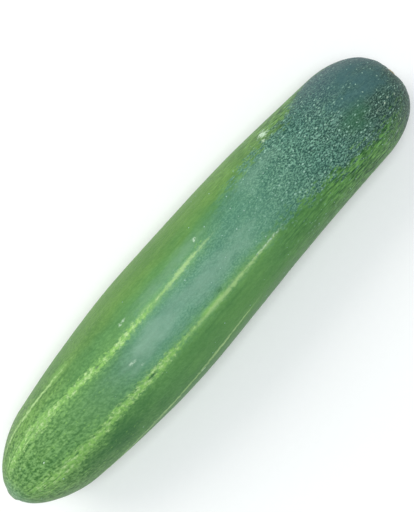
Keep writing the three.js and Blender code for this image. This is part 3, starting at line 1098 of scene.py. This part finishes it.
def skin_material(skin):
    """Living cucumber skin: a waxed cuticle over green flesh, satin, finely pebbled and flecked.

    The wax gives a wide soft shine, and the green under it changes in tufts and streaks that follow
    the fruit's length: yellower at the sides, bluer along the back and dark round the stalk.
    """
    material, tree, shader = open_material("waxed cucumber skin", 0.44, 1.38)
    here = skin_places(tree)
    here.update(skin_masks(tree, here))
    here.update(stripe_masks(tree, here))
    colour = greens(tree, here, skin)
    for layer in (textured, striped, marked):
        colour = layer(tree, here, skin, colour)
    tree.links.new(colour.outputs["Result"], shader.inputs["Base Color"])

    # Shine: duller on scuffs, on the painted glints and on pale mottles
    dull = add(tree, MATH, here["scuffs"], 0.3, 0.4, operation="MULTIPLY_ADD")
    dull = add(tree, MATH, here["mottle"], 0.08, dull, operation="MULTIPLY_ADD")
    tree.links.new(dull.outputs[0], shader.inputs["Roughness"])
    shader.inputs["Specular IOR Level"].default_value = 0.25

    # Relief of the flecks, cells, streaks and stripes, a tenth of a millimetre for the strongest fleck
    height = add(tree, MATH, here["fleck"], here["flecked"], operation="MULTIPLY")
    for kind, share in (("mottle", 0.5), ("streak", 0.3), ("core", 0.8)):
        height = add(tree, MATH, here[kind], share, height, operation="MULTIPLY_ADD")
    relief = add(tree, "ShaderNodeBump", named={"Strength": 1.0, "Distance": 0.1 * MM, "Height": height})
    tree.links.new(relief.outputs["Normal"], shader.inputs["Normal"])
    return material


def pore_material(skin):
    """Corky breathing pores: dry, matt and pale, so they read as specks on the waxed skin."""
    material, tree, shader = open_material("corky skin pores", 0.6, 1.45)
    shade = pattern(tree, place_in_mm(tree), GRAIN["pore"], 0.3, 0.7)
    darker = tuple(0.55 * part for part in skin.pore)
    colour = add(tree, MIX, shade, darker, skin.pore, data_type="RGBA")
    tree.links.new(colour.outputs["Result"], shader.inputs["Base Color"])
    return material


def scar_material(name, inner, veins, rim, roughness):
    """Dry plant tissue: matt, grainy, paler at its healed rim and darker where the veins end."""
    material, tree, shader = open_material(name, roughness, 1.4)
    out = add(tree, "ShaderNodeAttribute", attribute_name="from_middle").outputs["Fac"]
    raised = add(tree, "ShaderNodeAttribute", attribute_name="vein").outputs["Fac"]
    grain = pattern(tree, place_in_mm(tree), GRAIN["tissue"], 0.3, 0.7, detail=3.0)
    edge = add(tree, MATH, grain, 0.2, out, operation="MULTIPLY_ADD")
    edge = add(tree, RANGE, edge, 0.62, 0.85, 0.0, 1.0, interpolation_type="SMOOTHSTEP")
    colour = add(tree, MIX, edge, inner, rim, data_type="RGBA")
    colour = add(tree, MIX, raised, colour, veins, data_type="RGBA")
    gain = add(tree, MIX, grain, (0.65, 0.65, 0.65), (1.25, 1.25, 1.2), data_type="VECTOR")
    colour = add(tree, VECTOR, colour, gain, operation="MULTIPLY")
    tree.links.new(colour.outputs[0], shader.inputs["Base Color"])
    relief = add(tree, "ShaderNodeBump", named={"Strength": 1.0, "Distance": 0.08 * MM, "Height": grain})
    tree.links.new(relief.outputs["Normal"], shader.inputs["Normal"])
    return material


def scar(name, outwards, radius, depth, rise, material):
    """A disc of tissue laid on one tip of the fruit. rise gives its height and how much is vein.

    Its rings of points are cast onto the skin along X and lifted. The rim and a point behind the disc
    are sunk in the flesh, so the disc is closed and nothing shows under it.
    """
    body = bpy.data.objects["cucumber_body"].data
    girth = body.attributes["half_girth"].data
    poles = [vertex.co for vertex in body.vertices if girth[vertex.index].value < MERGE_WITHIN]
    tip = max(poles, key=lambda pole: outwards * pole.x)
    skin = BVHTree.FromPolygons([v.co for v in body.vertices], [p.vertices for p in body.polygons])
    points, from_middle, vein = [], [], []
    for ring in range(SCAR_RINGS + 1):
        share = ring / SCAR_RINGS
        for segment in range(SCAR_SEGMENTS if ring else 1):
            turn = 2 * math.pi * segment / SCAR_SEGMENTS
            aside = Vector((0, math.cos(turn), math.sin(turn))) * share * radius
            above = tip + aside + Vector((outwards * CAST_FROM, 0, 0))
            hit = skin.ray_cast(above, Vector((-outwards, 0, 0)))[0]
            height, veined = rise(share, turn)
            points.append(hit + Vector((outwards * height, 0, 0)))
            from_middle.append(share)
            vein.append(veined)
    points.append(tip - Vector((outwards * depth, 0, 0)))
    from_middle.append(1.0)
    vein.append(0.0)

    faces = []
    for segment in range(SCAR_SEGMENTS):
        after = (segment + 1) % SCAR_SEGMENTS
        faces.append((0, 1 + segment, 1 + after))
        for ring in range(SCAR_RINGS - 1):
            start = 1 + ring * SCAR_SEGMENTS
            outer = start + SCAR_SEGMENTS
            faces.append((start + segment, outer + segment, outer + after, start + after))
        rim = 1 + (SCAR_RINGS - 1) * SCAR_SEGMENTS
        faces.append((rim + segment, len(points) - 1, rim + after))
    if outwards < 0:
        faces = [face[::-1] for face in faces]
    mesh = bpy.data.meshes.new(name)
    mesh.from_pydata(points, [], faces)
    for title, values in (("from_middle", from_middle), ("vein", vein)):
        mesh.attributes.new(title, "FLOAT", "POINT").data.foreach_set("value", values)
    mesh.materials.append(material)
    mesh.shade_smooth()
    piece = bpy.data.objects.new(name, mesh)
    bpy.context.scene.collection.objects.link(piece)
    settle_piece(piece)


def bump(distance, width):
    """A bell curve that is 1 at nought and has almost gone at twice the width."""
    return math.exp(-((distance / width) ** 2))


class CUCUMBER_OT_body(bpy.types.Operator):
    """Grow the fruit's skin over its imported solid"""

    bl_idname = "cucumber.body"
    bl_label = "Grow Body"

    def execute(self, context):
        material = skin_material(context.scene.cucumber_skin)
        body = grow("cucumber_body", body_tree(material), context.scene.cucumber_shape)
        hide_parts(NODE)
        settle_piece(body)
        return {"FINISHED"}


class CUCUMBER_OT_dots(bpy.types.Operator):
    """Scatter the pale pores over the skin"""

    bl_idname = "cucumber.dots"
    bl_label = "Scatter Dots"

    def execute(self, context):
        material = pore_material(context.scene.cucumber_skin)
        settle_piece(grow("cucumber_dots", dots_tree(material), context.scene.cucumber_dots))
        return {"FINISHED"}


class CUCUMBER_OT_stem_scar(bpy.types.Operator):
    """Lay the dried face of the stalk in its hollow"""

    bl_idname = "cucumber.stem_scar"
    bl_label = "Lay Stem Scar"

    def execute(self, context):
        scars = context.scene.cucumber_scars

        def rise(share, turn):
            """The height above the skin, and how much is vein, at a share of the radius and an angle."""
            callus = 0.4 + 0.09 * math.sin(5 * turn + 1) + 0.06 * math.sin(8 * turn)
            callus *= bump(share - 0.8, 0.13)
            hollow = -0.28 * bump(share, 0.5)
            veined = 0.0
            for k in range(scars.bundles):
                middle = 2 * math.pi * (k + 0.25 * math.sin(7 * k)) / scars.bundles
                away = math.dist(
                    (share * math.cos(turn), share * math.sin(turn)),
                    (0.5 * math.cos(middle), 0.5 * math.sin(middle)),
                )
                veined = max(veined, bump(away, 0.09))
            grain = noise.noise(Vector((6 * share * math.cos(turn), 6 * share * math.sin(turn), 1)))
            edge = -0.65 * max(0.0, share - 0.86) / 0.14
            lift = callus + hollow + 0.22 * veined + 0.07 * grain + edge + 0.45
            return lift * MM, veined

        material = scar_material("dried cut stalk", scars.cut, scars.vein, scars.cork, 0.7)
        scar("stem_scar", 1, scars.stem_radius, scars.depth, rise, material)
        return {"FINISHED"}


class CUCUMBER_OT_blossom_scar(bpy.types.Operator):
    """Lay the corky ring and the withered nub that the flower left"""

    bl_idname = "cucumber.blossom_scar"
    bl_label = "Lay Blossom Scar"

    def execute(self, context):
        scars = context.scene.cucumber_scars

        def rise(share, turn):
            """The height above the skin, and how much is vein, at a share of the radius and an angle."""
            ring = 0.09 + 0.04 * math.sin(6 * turn + 2) + 0.03 * math.sin(11 * turn)
            ring *= bump(share - 0.62, 0.17)
            nub = bump(share, 0.17)
            grain = noise.noise(Vector((5 * share * math.cos(turn), 5 * share * math.sin(turn), 7)))
            edge = -0.4 * max(0.0, share - 0.84) / 0.16
            lift = ring + 0.16 * nub + 0.05 * grain + edge + 0.06
            return lift * MM, max(nub, bump(share - 0.34, 0.1))

        material = scar_material("withered flower scar", scars.cork, scars.withered, scars.cut, 0.75)
        scar("blossom_scar", -1, scars.blossom_radius, scars.depth, rise, material)
        return {"FINISHED"}


class CUCUMBER_OT_stage(bpy.types.Operator):
    """Lay the floor and set the lights and the camera"""

    bl_idname = "cucumber.stage"
    bl_label = "Set Stage"

    def execute(self, context):
        studio = context.scene.cucumber_studio
        half = studio.floor_size / 2
        sheet = bpy.data.meshes.new("floor")
        corners = [(-half, -half, 0), (half, -half, 0), (half, half, 0), (-half, half, 0)]
        sheet.from_pydata(corners, [], [(0, 1, 2, 3)])
        sheet.materials.append(paper_material(studio))
        floor = bpy.data.objects.new("floor", sheet)
        context.collection.objects.link(floor)

        for name, place, size, power, colour in (
            ("overhead", (0.0, 0.0, 1.1), (0.5, 0.45), studio.overhead_power, (0.93, 0.97, 1.0)),
            ("side", (-0.35, 0.85, 0.75), (0.6, 0.6), studio.side_power, (1.0, 0.98, 0.94)),
        ):
            lamp = bpy.data.objects.new(name, bpy.data.lights.new(name, "AREA"))
            lamp.data.shape = "RECTANGLE"
            lamp.data.size, lamp.data.size_y = size
            lamp.data.energy = power
            lamp.data.color = colour
            lamp.location = place
            lamp.rotation_euler = Vector(place).to_track_quat("Z", "Y").to_euler()
            context.collection.objects.link(lamp)
        world = bpy.data.worlds.new("sky")
        world.use_nodes = True
        sky = world.node_tree.nodes["Background"]
        sky.inputs["Color"].default_value = (0.95, 0.98, 1.0, 1.0)
        sky.inputs["Strength"].default_value = studio.sky_strength
        context.scene.world = world
        context.scene.view_settings.view_transform = "Standard"

        camera = bpy.data.objects.new("camera", bpy.data.cameras.new("camera"))
        camera.data.lens = studio.camera_lens
        camera.location = (*CAMERA_PLACE, studio.camera_height)
        camera.rotation_euler = (0, 0, studio.camera_turn)
        context.collection.objects.link(camera)
        context.scene.camera = camera
        return {"FINISHED"}


def paper_material(studio):
    """Matt white paper: even, with a faint cloudiness of its fibres, so that only the fruit stands out."""
    material, tree, shader = open_material("matt white paper", 0.9, 1.45)
    shade = pattern(tree, place_in_mm(tree), GRAIN["paper"], 0.2, 0.8)
    darker = tuple(0.985 * part for part in studio.floor_colour)
    colour = add(tree, MIX, shade, darker, studio.floor_colour, data_type="RGBA")
    tree.links.new(colour.outputs["Result"], shader.inputs["Base Color"])
    return material


class CUCUMBER_PT_panel(bpy.types.Panel):
    """Buttons that make each part of the cucumber, over the settings that they use"""

    bl_idname = "CUCUMBER_PT_panel"
    bl_label = "Cucumber"
    bl_space_type = "VIEW_3D"
    bl_region_type = "UI"
    bl_category = "Cucumber"

    def draw(self, context):
        for operator in OPERATORS:
            self.layout.operator(operator.bl_idname)
        for name, group in SETTINGS.items():
            box = self.layout.box()
            settings = getattr(context.scene, name)
            for setting in group.bl_rna.properties:
                if setting.identifier not in ("rna_type", "name"):
                    box.prop(settings, setting.identifier)


OPERATORS = (
    CUCUMBER_OT_body,
    CUCUMBER_OT_dots,
    CUCUMBER_OT_stem_scar,
    CUCUMBER_OT_blossom_scar,
    CUCUMBER_OT_stage,
)
SETTINGS = {
    "cucumber_shape": CucumberShape,
    "cucumber_dots": CucumberDots,
    "cucumber_scars": CucumberScars,
    "cucumber_skin": CucumberSkin,
    "cucumber_studio": CucumberStudio,
}
CLASSES = (*SETTINGS.values(), *OPERATORS, CUCUMBER_PT_panel)


def register():
    for cls in CLASSES:
        bpy.utils.register_class(cls)
    for name, group in SETTINGS.items():
        setattr(bpy.types.Scene, name, bpy.props.PointerProperty(type=group))


def unregister():
    for name in SETTINGS:
        delattr(bpy.types.Scene, name)
    for cls in reversed(CLASSES):
        bpy.utils.unregister_class(cls)


def main():
    register()
    bpy.ops.cucumber.body()
    bpy.ops.cucumber.dots()
    bpy.ops.cucumber.stem_scar()
    bpy.ops.cucumber.blossom_scar()
    bpy.ops.cucumber.stage()


if __name__ == "__main__":
    main()
